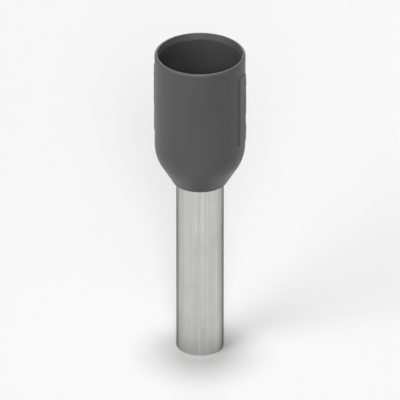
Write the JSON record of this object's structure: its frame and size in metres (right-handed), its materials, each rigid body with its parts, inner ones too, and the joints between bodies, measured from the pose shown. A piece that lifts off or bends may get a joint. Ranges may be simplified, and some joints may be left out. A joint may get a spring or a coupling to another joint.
{
  "type": "wire ferrule",
  "caption": "Insulated wire end ferrule: a tinned copper tube with a flared mouth, held in a tapered dark grey plastic collar.",
  "frame": {"origin": "centre of the barrel's tip, on the surface that the ferrule stands on", "axes": "+Z along the ferrule's axis, from the barrel's tip to the collar's mouth; the two broken web stubs are at +X and -X"},
  "size_m": [0.004, 0.0038, 0.014],
  "materials": {
    "tinned_copper": "satin tin plating on drawn copper, silvery",
    "collar_plastic": "moulded polypropylene, dark grey, satin"
  },
  "bodies": {
    "root": {"barrel": "tinned_copper", "collar": "collar_plastic"}
  },
  "joints": []
}
